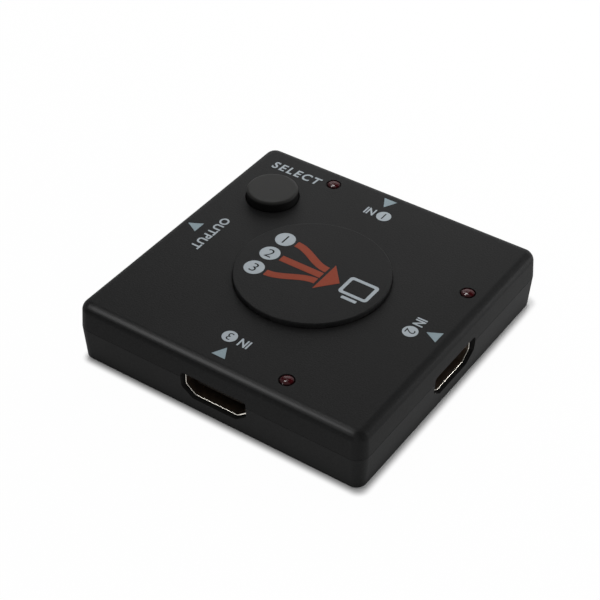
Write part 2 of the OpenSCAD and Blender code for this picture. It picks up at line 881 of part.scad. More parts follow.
// Small chip that reads the button and lights the LEDs
module control_chip() {
    color(chip_black)
        block(outer_chip_at, -outer_chip_at, control_chip_l, control_chip_w, chip_z, chip_z + control_chip_t);
}

module control_chip_leads() {
    color(steel)
        translate([outer_chip_at, -outer_chip_at, 0])
            for (turn = [0, 180])
                rotate([0, 0, turn])
                    lead_row(control_lead_n, control_lead_pitch, control_lead_w, control_chip_w / 2,
                             chip_z + control_chip_t / 2);
}

// Regulator of the supply, with three leads on one side and a cooling tab on the other
module voltage_regulator() {
    color(chip_black)
        block(-outer_chip_at, -outer_chip_at, regulator_l, regulator_w, chip_z, chip_z + regulator_t);
}

module regulator_leads() {
    lead_z = chip_z + regulator_t / 2;
    color(steel)
        translate([-outer_chip_at, -outer_chip_at, 0]) {
            lead_row(regulator_lead_n, regulator_lead_pitch, regulator_lead_w, regulator_w / 2, lead_z);
            rotate([0, 0, 180])
                lead_row(1, regulator_lead_pitch, regulator_tab_w, regulator_w / 2, lead_z);
        }
}

// Three diodes that feed the supply from the inputs
module supply_diodes() {
    color(chip_black)
        for (i = [0:diode_n - 1])
            block(outer_chip_at, outer_chip_at + (i - (diode_n - 1) / 2) * diode_pitch,
                  diode_l, diode_w, board_top, board_top + diode_t);
}

// A row of small chips on each side of the routing chip
module passive_rows(n, at, t) {
    for (k = [0:3])
        at_side(k)
            for (i = [0:n - 1])
                block((i - (n - 1) / 2) * passive_pitch, -at, passive_l, passive_w, board_top, board_top + t);
}

module chip_capacitors() {
    color(ceramic_tan)
        passive_rows(capacitor_n, capacitor_at, capacitor_t);
}

module chip_resistors() {
    color(chip_black)
        passive_rows(resistor_n, resistor_at, resistor_t);
}

bottom_cover();
case_screws();
circuit_board();
routing_chip();
routing_chip_leads();
control_chip();
control_chip_leads();
voltage_regulator();
regulator_leads();
supply_diodes();
chip_capacitors();
chip_resistors();
for (k = [0:3]) {
    socket_shell(k);
    socket_insulator(k);
    socket_contacts(k);
}
switch_housing();
switch_terminals();
switch_dome();
switch_plunger();
switch_cover_plate();
for (k = [0:2]) {
    led_lens(k);
    led_leads(k);
}
select_button();
top_cover();
badge_disc();
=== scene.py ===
import math

import bmesh
import bpy
import numpy as np
from mathutils import Matrix, Vector


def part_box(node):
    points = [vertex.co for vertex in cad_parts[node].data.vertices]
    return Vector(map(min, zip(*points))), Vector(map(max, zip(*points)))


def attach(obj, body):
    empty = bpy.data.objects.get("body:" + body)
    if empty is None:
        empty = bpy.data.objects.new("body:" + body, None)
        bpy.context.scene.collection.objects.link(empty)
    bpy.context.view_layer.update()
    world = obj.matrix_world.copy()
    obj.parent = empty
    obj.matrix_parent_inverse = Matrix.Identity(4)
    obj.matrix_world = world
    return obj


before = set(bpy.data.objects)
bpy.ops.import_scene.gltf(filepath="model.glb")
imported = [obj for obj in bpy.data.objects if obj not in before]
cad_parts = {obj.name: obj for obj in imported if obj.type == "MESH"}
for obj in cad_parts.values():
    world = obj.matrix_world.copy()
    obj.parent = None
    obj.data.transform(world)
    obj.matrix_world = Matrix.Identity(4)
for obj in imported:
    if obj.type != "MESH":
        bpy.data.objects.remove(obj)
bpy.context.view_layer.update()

# Camera
# The box is seen from above its front corner, with the side of input 3 on the left and the side of
# input 2 on the right, through a long lens.
MM = 0.001
SENSOR_WIDTH = 36.0
LENS = 95.95
NEAREST = 10 * MM
AZIMUTH = math.radians(34.29)
ELEVATION = math.radians(40.03)
ROLL = math.radians(0.288)
DISTANCE = 323.25 * MM
AIM_RIGHT = -2.404 * MM
AIM_UP = 5.586 * MM

right = Vector((math.cos(AZIMUTH), math.sin(AZIMUTH), 0.0))
level = Vector((math.sin(AZIMUTH), -math.cos(AZIMUTH), 0.0))
back = level * math.cos(ELEVATION) + Vector((0.0, 0.0, math.sin(ELEVATION)))
up = back.cross(right)
camera = bpy.data.objects.new("camera", bpy.data.cameras.new("camera"))
camera.data.sensor_width = SENSOR_WIDTH
camera.data.lens = LENS
camera.data.clip_start = NEAREST
rolled_right = right * math.cos(ROLL) + up * math.sin(ROLL)
rolled_up = up * math.cos(ROLL) - right * math.sin(ROLL)
stance = Matrix((rolled_right, rolled_up, back)).transposed().to_4x4()
stance.translation = back * DISTANCE + right * AIM_RIGHT + up * AIM_UP
camera.matrix_world = stance
bpy.context.scene.collection.objects.link(camera)
bpy.context.scene.camera = camera
bpy.context.scene.view_settings.view_transform = "Standard"

# Studio
# A white table keeps the shadow close round the box and is plain white past it. Behind on the left are a
# large soft box, a low panel and a high lamp. A low box is on the right, a small lamp and a low card are
# in front, and a strip hangs high on the left. The room is dark grey, and its horizon looks white.
WHITE = (1.0, 1.0, 1.0, 1.0)
TABLE_HALF = 2.0
TABLE_WHITE = 0.86
TABLE_DULL = 0.85
TABLE_PATCH = 0.4
TABLE_ROUGHNESS = 0.9
ROOM_GREY = 0.125
HORIZON_RISE = 0.2
SHADOW_FROM = 32.4 * MM
SHADOW_TO = 34.4 * MM
SHADOW_LEFT = 0.015
SHADOW_CORNER = 31.5 * MM
OUTPUT_PULL = 1.3 * MM
# Each row: lamp, its place, the point that it faces, its width and height in metres, its power in watts
LAMPS = (
    ("rear_box", (-0.292, 0.429, 0.30), (0.0, 0.0, 0.0), 0.40, 0.40, 0.96),
    ("rear_panel", (-0.05, 0.199, 0.10), (0.0, 0.0, 0.014), 0.30, 0.14, 0.235),
    ("right_box", (0.136, 0.115, 0.03), (0.033, 0.016, 0.007), 0.12, 0.045, 0.178),
    ("top_box", (-0.142, 0.209, 0.544), (0.0, 0.0, 0.014), 0.2, 0.2, 0.53),
    ("front_box", (-0.258, -0.267, 0.471), (0.0, 0.0, 0.0), 0.15, 0.15, 0.5),
    ("left_strip", (-0.18, 0.04, 0.46), (0.0, 0.0, 0.014), 0.045, 0.12, 0.1),
    ("front_card", (0.065, -0.115, 0.03), (0.018, -0.033, 0.007), 0.05, 0.03, 0.028),
)


class Signal:
    """A value on a material's wires. Arithmetic adds Math nodes, and node() adds any other node."""

    def __init__(self, socket):
        self.socket = socket

    def node(self, kind, settings=None, sockets=None, out=0):
        """Adds a node of one kind: its settings first, then its sockets, each by value or by link."""
        tree = self.socket.id_data
        made = tree.nodes.new(kind)
        for name, value in (settings or {}).items():
            setattr(made, name, value)
        inputs = {socket.identifier: socket for socket in made.inputs}
        for name, value in (sockets or {}).items():
            if isinstance(value, Signal):
                tree.links.new(value.socket, inputs[name])
            else:
                inputs[name].default_value = value
        return Signal(made.outputs[out] if made.outputs else made.inputs[0])

    def maths(self, operation, first, second=0.0):
        """Adds a Math node on one or two values."""
        return self.node("ShaderNodeMath", {"operation": operation},
                         {"Value": first, "Value_001": second})

    def __add__(self, other):
        return self.maths("ADD", self, other)

    def __sub__(self, other):
        return self.maths("SUBTRACT", self, other)

    def __rsub__(self, other):
        return self.maths("SUBTRACT", other, self)

    def __mul__(self, other):
        return self.maths("MULTIPLY", self, other)

    def __truediv__(self, other):
        return self.maths("DIVIDE", self, other)

    def __mod__(self, other):
        return self.maths("FLOORED_MODULO", self, other)

    def __gt__(self, other):
        return self.maths("GREATER_THAN", self, other)

    def __lt__(self, other):
        return self.maths("LESS_THAN", self, other)

    def __abs__(self):
        return self.maths("ABSOLUTE", self)

    __radd__ = __add__
    __rmul__ = __mul__


def finish(name):
    """Starts a material with no nodes but its Object coordinates, and returns both."""
    made = bpy.data.materials.new(name)
    made.use_nodes = True
    made.node_tree.nodes.clear()
    return made, Signal(made.node_tree.nodes.new("ShaderNodeTexCoord").outputs["Object"])


def parts(place):
    """The three coordinates of a place."""
    axes = place.node("ShaderNodeSeparateXYZ", None, {"Vector": place}).socket.node.outputs
    return Signal(axes["X"]), Signal(axes["Y"]), Signal(axes["Z"])


def surface(place, sockets):
    """Closes a material: one Principled shader with the given sockets, wired to the output."""
    shader = place.node("ShaderNodeBsdfPrincipled", None, sockets)
    place.node("ShaderNodeOutputMaterial", None, {"Surface": shader})


def grain(place, size, detail=2.0):
    """Noise from 0 to 1 whose lumps are about the given size across."""
    return place.node("ShaderNodeTexNoise", None,
                      {"Vector": place, "Scale": 1.0 / size, "Detail": detail})


def shade(place, amount, dark, light):
    """Blends two colours by a value from 0 to 1. Each is three numbers, or a colour on a wire."""
    first, second = (tone if isinstance(tone, Signal) else (*tone, 1.0) for tone in (dark, light))
    return place.node("ShaderNodeMix", {"data_type": "RGBA"},
                      {"Factor_Float": amount, "A_Color": first, "B_Color": second}, 2)


def ramp(value, low, high):
    """Rises smoothly from 0 at one value to 1 at another."""
    return value.node("ShaderNodeMapRange", {"interpolation_type": "SMOOTHSTEP"},
                      {"Value": value, "From Min": low, "From Max": high})


def shown(place):
    """1 for what the camera sees, straight or in metal and glass, and 0 for the light on the box."""
    path = place.node("ShaderNodeLightPath").socket.node.outputs
    straight = Signal(path["Is Camera Ray"])
    mirrored = Signal(path["Is Glossy Ray"])
    refracted = Signal(path["Is Transmission Ray"])
    return place.maths("MINIMUM", straight + mirrored + refracted, 1.0)


def relief(place, height, depth):
    """Turns a height from 0 to 1 into a bumped normal, with the given depth in metres."""
    return place.node("ShaderNodeBump", None,
                      {"Height": height, "Distance": depth, "Strength": 1.0})


def mesh_piece(name, points, faces):
    """Puts whole arrays of points and faces into a new object at the origin."""
    mesh = bpy.data.meshes.new(name)
    mesh.from_pydata(points.tolist(), [], faces)
    mesh.update()
    made = bpy.data.objects.new(name, mesh)
    bpy.context.scene.collection.objects.link(made)
    return made


def soft_box(name, at, toward, width, height, watts):
    """Hangs a rectangular lamp at one point, turned to face another."""
    lamp = bpy.data.lights.new(name, "AREA")
    lamp.shape = "RECTANGLE"
    lamp.size = width
    lamp.size_y = height
    lamp.energy = watts
    made = bpy.data.objects.new(name, lamp)
    aim = (Vector(at) - Vector(toward)).to_track_quat("Z", "Y")
    made.matrix_world = Matrix.Translation(at) @ aim.to_matrix().to_4x4()
    bpy.context.scene.collection.objects.link(made)


# The shadow is kept in a square with round corners, drawn in a little on the side of the output
table_cloth, place = finish("table_white")
across, along, _ = parts(place)
beside = abs(across - OUTPUT_PULL / 2) + OUTPUT_PULL / 2 - SHADOW_CORNER
before = abs(along) - SHADOW_CORNER
beside = place.maths("MAXIMUM", beside, 0.0)
before = place.maths("MAXIMUM", before, 0.0)
outward = place.maths("SQRT", beside * beside + before * before) + SHADOW_CORNER
clear = ramp(outward, SHADOW_FROM, SHADOW_TO) * (1.0 - SHADOW_LEFT)
cloth = place.node("ShaderNodeBsdfPrincipled", None, {
    "Base Color": shade(place, grain(place, TABLE_PATCH), (TABLE_DULL,) * 3, (TABLE_WHITE,) * 3),
    "Roughness": TABLE_ROUGHNESS,
    "Specular IOR Level": 0.0,
})
white = place.node("ShaderNodeEmission", None, {"Color": WHITE, "Strength": 1.0})
place.node("ShaderNodeOutputMaterial", None, {
    "Surface": place.node("ShaderNodeMixShader", None, {
        "Fac": shown(place) * clear,
        "Shader": cloth,
        "Shader_001": white,
    }),
})
corners = np.array([(-1, -1, 0), (1, -1, 0), (1, 1, 0), (-1, 1, 0)]) * TABLE_HALF
table = mesh_piece("table", corners, [(0, 1, 2, 3)])
table.data.materials.append(table_cloth)

for lamp_row in LAMPS:
    soft_box(*lamp_row)

room = bpy.data.worlds.new("room")
room.use_nodes = True
room.node_tree.nodes.clear()
sky = Signal(room.node_tree.nodes.new("ShaderNodeTexCoord").outputs["Generated"])
_, _, rise = parts(sky)
sky.node("ShaderNodeOutputWorld", None, {
    "Surface": sky.node("ShaderNodeBackground", None, {
        "Color": WHITE,
        "Strength": shown(sky) * (rise < HORIZON_RISE) * (1.0 - ROOM_GREY) + ROOM_GREY,
    }),
})
bpy.context.scene.world = room

# Lower shell
# A black tray moulded in tough plastic. Its outside carries the fine spark-eroded texture of the
# mould, and its edges are broken by a hair so that they catch the light.
BLACK = (0.0084, 0.0085, 0.0086)
BLACK_PALE = (0.0154, 0.0155, 0.0156)
CASE_ROUGHNESS = 0.55
CASE_GLOSS = 0.05
CASE_BREAK = 0.03 * MM
SPARK = 0.34 * MM
SPARK_DEPTH = 0.012 * MM
SPARK_LOW = 0.25
SPARK_HIGH = 0.75
SPARK_DETAIL = 3.0
SPARK_SHARE = 0.6
DRIFT = 14 * MM
DRIFT_ROUGHNESS = 0.08
EDGE_LOW = 12.75 * MM
EDGE_HIGH = 13.5 * MM
EDGE_IN = 30.4 * MM
EDGE_ENDS = 29.0 * MM
EDGE_END_FADE = 3 * MM
EDGE_FADE = 0.2 * MM
EDGE_GLOSS = 0.84
EDGE_ROUGHNESS = 0.38
WELD = 0.002 * MM
PLAIN_ANGLE = math.radians(2.5)
FOLD_ANGLE = math.radians(35.0)


def textured_black(name, dark, pale, roughness, worn=0.0):
    """Black plastic with a spark-eroded grain in relief and a slow drift of tone. Where its front edge is
    worn, a coat fills a band between two heights there and fades towards the ends."""
    made, place = finish(name)
    lumps = ramp(grain(place, SPARK, SPARK_DETAIL), SPARK_LOW, SPARK_HIGH)
    drift = grain(place, DRIFT)
    coat = 0.0
    if worn:
        across, along, height = parts(place)
        lower = ramp(height, EDGE_LOW - EDGE_FADE, EDGE_LOW + EDGE_FADE)
        upper = ramp(height, EDGE_HIGH - EDGE_FADE / 2, EDGE_HIGH + EDGE_FADE / 2)
        front = ramp(along * -1.0, EDGE_IN - EDGE_FADE, EDGE_IN + EDGE_FADE)
        ends = ramp(abs(across), EDGE_ENDS, EDGE_ENDS + EDGE_END_FADE)
        coat = lower * (1.0 - upper) * front * (1.0 - ends) * worn
    surface(place, {
        "Base Color": shade(place, lumps * SPARK_SHARE + drift * (1.0 - SPARK_SHARE), dark, pale),
        "Roughness": roughness + (drift - 0.5) * DRIFT_ROUGHNESS,
        "Specular IOR Level": CASE_GLOSS,
        "Coat Weight": coat,
        "Coat Roughness": EDGE_ROUGHNESS,
        "Normal": relief(place, lumps, SPARK_DEPTH),
    })
    return made


def dress(node, material, break_edge=0.0):
    """Gives a CAD node its finish. Modifiers weld its triangles, break its edges and even its shading."""
    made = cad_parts[node]
    made.data.materials.clear()
    made.data.materials.append(material)
    made.data.shade_smooth()
    weld = made.modifiers.new("weld", "WELD")
    weld.merge_threshold = WELD
    if break_edge:
        plain = made.modifiers.new("plain_faces", "DECIMATE")
        plain.decimate_type = "DISSOLVE"
        plain.angle_limit = PLAIN_ANGLE
        bevel = made.modifiers.new("broken_edges", "BEVEL")
        bevel.width = break_edge
        bevel.segments = 2
        bevel.limit_method = "ANGLE"
        bevel.angle_limit = FOLD_ANGLE
        bevel.use_clamp_overlap = False
    even = made.modifiers.new("even_shading", "WEIGHTED_NORMAL")
    even.keep_sharp = False


case_black = textured_black("case_black", BLACK, BLACK_PALE, CASE_ROUGHNESS, EDGE_GLOSS)
dress("bottom_cover", case_black, CASE_BREAK)

# Case screws
# Four small self-tapping screws of zinc-plated steel with cross heads. They are driven up from below,
# through the lower shell and the board, into bosses of the upper shell.
ZINC = (0.55, 0.56, 0.57)
ZINC_PALE = (0.70, 0.71, 0.71)
ZINC_ROUGHNESS = 0.32
ZINC_PATCH = 1.5 * MM
SCREW_BREAK = 0.04 * MM
CLOUD_DETAIL = 4.0
CLOUD_ROUGHNESS = 0.15
PITS_PER_PATCH = 8
PIT_DEPTH = 0.002 * MM


def bright_metal(name, dark, pale, roughness, patch, pits=PIT_DEPTH):
    """Plated metal: a slow change of tone, and fine pits that spread its gloss."""
    made, place = finish(name)
    cloud = grain(place, patch, CLOUD_DETAIL)
    surface(place, {
        "Base Color": shade(place, cloud, dark, pale),
        "Metallic": 1.0,
        "Roughness": roughness + (cloud - 0.5) * CLOUD_ROUGHNESS,
        "Normal": relief(place, grain(place, patch / PITS_PER_PATCH), pits),
    })
    return made


zinc_plating = bright_metal("zinc_plating", ZINC, ZINC_PALE, ZINC_ROUGHNESS, ZINC_PATCH)
dress("case_screws", zinc_plating, SCREW_BREAK)

# Circuit board
# One board of glass-fibre laminate. Copper tracks show through its green solder mask as a paler
# green, in lines that run square to the board's edges.
MASK_GREEN = (0.008, 0.075, 0.028)
MASK_ROUGHNESS = 0.32
MASK_UNEVEN = 0.1
MASK_PATCH = 3 * MM
TRACK_GREEN = (0.020, 0.150, 0.055)
TRACK_PITCH = 1.27 * MM
TRACK_SHARE = 0.32
TRACK_RISE = 0.02 * MM
BUNDLE = 9 * MM
BUNDLE_FROM = 0.52

solder_mask, place = finish("solder_mask")
across, along, _ = parts(place)
bundle = grain(place, BUNDLE) > BUNDLE_FROM
track_across = (across / TRACK_PITCH % 1.0) < TRACK_SHARE
track_along = (along / TRACK_PITCH % 1.0) < TRACK_SHARE
track = track_across * bundle + track_along * (1.0 - bundle)
surface(place, {
    "Base Color": shade(place, track, MASK_GREEN, TRACK_GREEN),
    "Roughness": MASK_ROUGHNESS + grain(place, MASK_PATCH) * MASK_UNEVEN,
    "Normal": relief(place, track, TRACK_RISE),
})
dress("circuit_board", solder_mask)

# Chips
# The routing chip, the control chip, the regulator and the diodes are moulded in black epoxy with a
# fine dull surface. Their bent leads are tinned copper, soldered to the board.
EPOXY = (0.010, 0.010, 0.011)
EPOXY_PALE = (0.020, 0.020, 0.021)
EPOXY_ROUGHNESS = 0.62
EPOXY_BREAK = 0.05 * MM
TIN = (0.52, 0.53, 0.54)
TIN_PALE = (0.72, 0.73, 0.73)
TIN_ROUGHNESS = 0.28
TIN_PATCH = 0.8 * MM

moulded_epoxy = textured_black("moulded_epoxy", EPOXY, EPOXY_PALE, EPOXY_ROUGHNESS)
tinned = bright_metal("tinned_copper", TIN, TIN_PALE, TIN_ROUGHNESS, TIN_PATCH)
for chip in ("routing_chip", "control_chip", "voltage_regulator", "supply_diodes"):
    dress(chip, moulded_epoxy, EPOXY_BREAK)
for leads in ("routing_chip_leads", "control_chip_leads", "regulator_leads"):
    dress(leads, tinned)

# Capacitors and resistors
# Tiny ceramic blocks in rows round the routing chip: tan capacitors and black resistors, each with
# a tinned cap on both ends.
PART_PITCH = 2.4 * MM
CAP_FROM = 0.52 * MM
CERAMIC = (0.36, 0.24, 0.13)
CERAMIC_PALE = (0.50, 0.37, 0.22)
CERAMIC_GRAIN = 0.2 * MM
CERAMIC_ROUGHNESS = 0.5
CAP_POLISH = 0.2
GLAZE = (0.008, 0.008, 0.009)
GLAZE_PALE = (0.016, 0.016, 0.018)
CAPACITOR_BREAK = 0.04 * MM
RESISTOR_BREAK = 0.03 * MM


def capped_ceramic(name, dark, pale, shift):
    """Ceramic with metal ends: the distance along the row to the nearest part's middle picks the caps."""
    made, place = finish(name)
    across, along, _ = parts(place)
    side_row = abs(across) > abs(along)
    row = across * (1.0 - side_row) + along * side_row
    from_middle = abs((row / PART_PITCH + 0.5 + shift) % 1.0 - 0.5) * PART_PITCH
    cap = from_middle > CAP_FROM
    body = shade(place, grain(place, CERAMIC_GRAIN), dark, pale)
    surface(place, {
        "Base Color": shade(place, cap, body, TIN_PALE),
        "Metallic": cap,
        "Roughness": CERAMIC_ROUGHNESS - cap * CAP_POLISH,
    })
    return made


tan_ceramic = capped_ceramic("tan_ceramic", CERAMIC, CERAMIC_PALE, 0.0)
black_glaze = capped_ceramic("black_glaze", GLAZE, GLAZE_PALE, 0.5)
dress("chip_capacitors", tan_ceramic, CAPACITOR_BREAK)
dress("chip_resistors", black_glaze, RESISTOR_BREAK)

# Sockets
# Each socket is a nickel-plated shell folded from thin sheet, a black tongue moulded in one with its
# back block, and two rows of gold-plated contacts that lie in grooves of the tongue.
# The inside of each shell is painted darker as shade, and it turns to pale nickel at the rim.
NICKEL_PAINTED_SHADE = (0.31, 0.24, 0.185)
NICKEL_PALE = (0.84, 0.80, 0.73)
NICKEL_PATCH = 3 * MM
NICKEL_ROUGHNESS = 0.3
NICKEL_SMEAR = 0.8 * MM
NICKEL_UNEVEN = 0.08
RIM = -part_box("input_3_shell")[0].y
RIM_FROM = RIM - 0.35 * MM
RIM_TO = RIM - 0.1 * MM
RIM_SHARE = 0.9
RIM_POLISH = 0.12
SHELL_BREAK = 0.08 * MM
TONGUE = (0.007, 0.006, 0.005)
TONGUE_PALE = (0.013, 0.011, 0.010)
TONGUE_ROUGHNESS = 0.5
TONGUE_BREAK = 0.02 * MM
GOLD = (0.52, 0.33, 0.12)
GOLD_PALE = (0.68, 0.47, 0.20)
GOLD_ROUGHNESS = 0.24
GOLD_PATCH = 0.6 * MM
GOLD_PITS = 0.0002 * MM
SIDES = ("input_3", "input_2", "input_1", "output")

nickel, place = finish("nickel_plating")
across, along, _ = parts(place)
# Painted shade: the colour darkens from the rim into the shell, where shade falls
rim = ramp(place.maths("MAXIMUM", abs(across), abs(along)), RIM_FROM, RIM_TO)
unshaded_with_patches = rim * RIM_SHARE + grain(place, NICKEL_PATCH) * (1.0 - RIM_SHARE)
smear = grain(place, NICKEL_SMEAR) * NICKEL_UNEVEN
surface(place, {
    "Base Color": shade(place, unshaded_with_patches, NICKEL_PAINTED_SHADE, NICKEL_PALE),
    "Metallic": 1.0,
    "Roughness": NICKEL_ROUGHNESS - rim * RIM_POLISH + smear,
})
tongue_black = textured_black("tongue_black", TONGUE, TONGUE_PALE, TONGUE_ROUGHNESS)
gold = bright_metal("gold_plating", GOLD, GOLD_PALE, GOLD_ROUGHNESS, GOLD_PATCH, GOLD_PITS)
for side in SIDES:
    dress(side + "_shell", nickel, SHELL_BREAK)
    dress(side + "_insulator", tongue_black, TONGUE_BREAK)
    dress(side + "_contacts", gold)

# Push switch
# A bought-in square push switch: black housing with tinned terminals, a steel snap dome, a black
# plunger and a stamped steel plate that closes the housing.
STEEL = (0.50, 0.50, 0.50)
STEEL_PALE = (0.66, 0.66, 0.65)
STEEL_ROUGHNESS = 0.35
STEEL_PATCH = 2 * MM
PLUNGER_ROUGHNESS = 0.45
PLUNGER_BREAK = 0.05 * MM
PLATE_BREAK = 0.03 * MM

stamped_steel = bright_metal("stamped_steel", STEEL, STEEL_PALE, STEEL_ROUGHNESS, STEEL_PATCH)
plunger_black = textured_black("plunger_black", BLACK, BLACK_PALE, PLUNGER_ROUGHNESS)
dress("switch_housing", moulded_epoxy, EPOXY_BREAK)
dress("switch_terminals", tinned)
dress("switch_dome", stamped_steel)
dress("switch_plunger", plunger_black, PLUNGER_BREAK)
dress("switch_cover_plate", stamped_steel, PLATE_BREAK)

# Indicator lights
# Three 3 mm LEDs moulded in clear dark-red epoxy, unlit, on tinned leads that are soldered to the board.
# Painted shade darkens each lens round its rim, and the front of its dome has the most polish.
LENS_RIM_SHADE = (0.012, 0.0015, 0.0022)
LENS_RED = (0.105, 0.0062, 0.0102)
LENS_PATCH = 0.8 * MM
LENS_LEAST = 0.75
LENS_UNEVEN = 0.4
LENS_ROUGHNESS = 0.2
LENS_SMEAR = 0.3 * MM
LENS_SMEAR_ROUGHNESS = 0.06
LENS_SHADE_FROM = 1.05 * MM
LENS_SHADE_TO = 1.42 * MM
POLISH_FROM = 0.38 * MM
POLISH_TO = 0.6 * MM
POLISH_LEAST = 0.06

for number in (1, 2, 3):
    red_epoxy, place = finish("red_epoxy_%d" % number)
    low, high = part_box("led_%d_lens" % number)
    across, along, _ = parts(place)
    across = across - (low.x + high.x) / 2
    along = along - (low.y + high.y) / 2
    reach = place.maths("SQRT", across * across + along * along)
    # Painted shade: the lens darkens towards its rim, where its hole shades it, and its coat fades there
    # too
    inside = 1.0 - ramp(reach, LENS_SHADE_FROM, LENS_SHADE_TO)
    polish = ramp(along * -1.0, POLISH_FROM, POLISH_TO)
    cloud = LENS_LEAST + grain(place, LENS_PATCH) * LENS_UNEVEN
    surface(place, {
        "Base Color": shade(place, inside * cloud, LENS_RIM_SHADE, LENS_RED),
        "Roughness": LENS_ROUGHNESS + grain(place, LENS_SMEAR) * LENS_SMEAR_ROUGHNESS,
        "IOR": 1.12,
        "Specular IOR Level": 0.0,
        "Transmission Weight": 0.6,
        "Coat Weight": inside * (polish * (1.0 - POLISH_LEAST) + POLISH_LEAST),
        "Coat Roughness": 0.06,
        "Coat IOR": 1.8,
    })
    dress("led_%d_lens" % number, red_epoxy)
    dress("led_%d_leads" % number, tinned)

# Upper shell
# The lid in the same textured black plastic, with a rounded edge all round its flat top. It meets the
# lower shell at the parting line, and the screws pull the two together.
dress("top_cover", case_black, CASE_BREAK)

# Printed marks
# Blue-grey pad print on the flat top: a numbered dot and a word at each input, a word at the output and
# at the button, and a triangle that points the way the picture goes.
INK_BLUE = (0.24, 0.308, 0.339)
INK_BLUE_PALE = (0.301, 0.381, 0.418)
WORD_BLUE = (0.38, 0.426, 0.46)
WORD_BLUE_PALE = (0.46, 0.506, 0.54)
INK_PATCH = 0.35 * MM
INK_DETAIL = 4.0
INK_RELIEF = 0.004 * MM
INK_ROUGHNESS = 0.45
INK_UNEVEN = 0.2
INK_GLOSS = 0.05
FILM = 0.03 * MM
FILM_SINK = 0.01 * MM
MERGE = 0.0005 * MM
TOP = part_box("top_cover")[1].z
QUARTER = math.pi / 2
TRIANGLE_W = 3.08 * MM
TRIANGLE_H = 2.83 * MM
DOT_R = 1.56 * MM
DIGIT_H = 2.0 * MM
DIGIT_WEIGHT = 0.04
DIGIT_STEPS = 6
WORD_WEIGHT = 0.05 * MM
IN_SIZE = (2.25 * MM, 2.2 * MM)
OUTPUT_ARROW_AT = (-29.07 * MM, -0.28 * MM)
OUTPUT_AT = (-24.6 * MM, -0.5 * MM)
OUTPUT_SIZE = (11.5 * MM, 2.05 * MM)
OUTPUT_SPACING = 1.1
SELECT_AT = (-22.1 * MM, 26.66 * MM)
SELECT_SIZE = (11.8 * MM, 2.35 * MM)
SELECT_SPACING = 1.3
SELECT_SLANT = 0.06
# Each row: side, turn of its words, the middle of its triangle, its dot and its word IN, in millimetres
INPUT_MARKS = (
    ("1", 0.0, (-0.44, 28.44), (1.27, 24.31), (-2.01, 24.26)),
    ("2", -QUARTER, (28.62, -1.77), (24.56, -3.3), (24.75, -0.02)),
    ("3", 2 * QUARTER, (-1.1, -28.1), (-2.6, -23.82), (0.92, -23.98)),
)


def ink(name, dark, pale):
    """Pad-printed ink: a thin uneven film, a little glossier than the plastic under it."""
    made, place = finish(name)
    cover = grain(place, INK_PATCH, INK_DETAIL)
    surface(place, {
        "Base Color": shade(place, cover, dark, pale),
        "Roughness": INK_ROUGHNESS + (cover - 0.5) * INK_UNEVEN,
        "Specular IOR Level": INK_GLOSS,
        "Normal": relief(place, cover, INK_RELIEF),
    })
    return made


def flat_mesh(curve):
    """Fills a flat curve by the even-odd rule and returns its merged mesh, one film thick."""
    curve.dimensions = "2D"
    curve.fill_mode = "BOTH"
    curve.extrude = FILM / 2
    holder = bpy.data.objects.new("outline", curve)
    bpy.context.scene.collection.objects.link(holder)
    ready = holder.evaluated_get(bpy.context.evaluated_depsgraph_get())
    mesh = bpy.data.meshes.new_from_object(ready)
    bpy.data.objects.remove(holder)
    shape = bmesh.new()
    shape.from_mesh(mesh)
    bmesh.ops.remove_doubles(shape, verts=shape.verts, dist=MERGE)
    bmesh.ops.recalc_face_normals(shape, faces=shape.faces)
    shape.to_mesh(mesh)
    shape.free()
    return mesh


def points_of(mesh):
    """The vertices of a mesh as one array, a row each."""
    flat = np.empty(len(mesh.vertices) * 3)
    mesh.vertices.foreach_get("co", flat)
    return flat.reshape(-1, 3)


def word_curve(text, size, weight, spacing=1.0):
    """A word in the plain built-in face, its strokes swollen by the weight and its letters spaced."""
    curve = bpy.data.curves.new(text, "FONT")
    curve.body = text
    curve.size = size
    curve.offset = weight
    curve.space_character = spacing
    return curve


def outline_curve(loops):
    """Closed straight-sided loops, each an array of points in the plane, as one flat curve."""
    curve = bpy.data.curves.new("outline", "CURVE")
    for loop in loops:
        spline = curve.splines.new("POLY")
        spline.points.add(len(loop) - 1)
        rows = np.zeros((len(loop), 4))
        rows[:, :2] = loop
        rows[:, 3] = 1.0
        spline.points.foreach_set("co", rows.ravel())
        spline.use_cyclic_u = True
    return curve


def fitted(points, width, height, slant):
    """Stretches points to a box centred on the origin, then leans them by the slant."""
    low, high = points.min(0), points.max(0)
    spread = (points - (low + high) / 2) / np.where(high > low, high - low, 1.0)
    spread[:, 0] = spread[:, 0] * width + spread[:, 1] * height * slant
    spread[:, 1] *= height
    spread[:, 2] = points[:, 2]
    return spread


def print_on(name, mesh, points, centre, turn, ground, material):
    """Lays a film on a flat ground: turns its points about Z, moves them and marks the piece."""
    cos, sin = math.cos(turn), math.sin(turn)
    laid = points @ np.array([(cos, sin, 0.0), (-sin, cos, 0.0), (0.0, 0.0, 1.0)])
    laid += np.array([centre[0], centre[1], ground + FILM / 2 - FILM_SINK])
    mesh.vertices.foreach_set("co", laid.ravel())
    mesh.update()
    mesh.materials.clear()
    mesh.materials.append(material)
    made = bpy.data.objects.new(name, mesh)
    bpy.context.scene.collection.objects.link(made)
    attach(made, "case")


def print_word(name, text, size, centre, turn, slant=0.0, spacing=1.0):
    """Prints a word on the top, fitted to its width and height."""
    width, height = size
    mesh = flat_mesh(word_curve(text, height, WORD_WEIGHT, spacing))
    points = fitted(points_of(mesh), width, height, slant)
    print_on(name, mesh, points, centre, turn, TOP, word_ink)


def print_shape(name, loops, centre, turn, ground, material):
    """Prints the shape inside closed loops, where a loop within another cuts a hole."""
    mesh = flat_mesh(outline_curve(loops))
    print_on(name, mesh, points_of(mesh), centre, turn, ground, material)


def ring(radius, count=64):
    """A circle as a loop of points."""
    angle = np.linspace(0.0, 2 * math.pi, count, endpoint=False)
    return np.stack([np.cos(angle), np.sin(angle)], 1) * radius


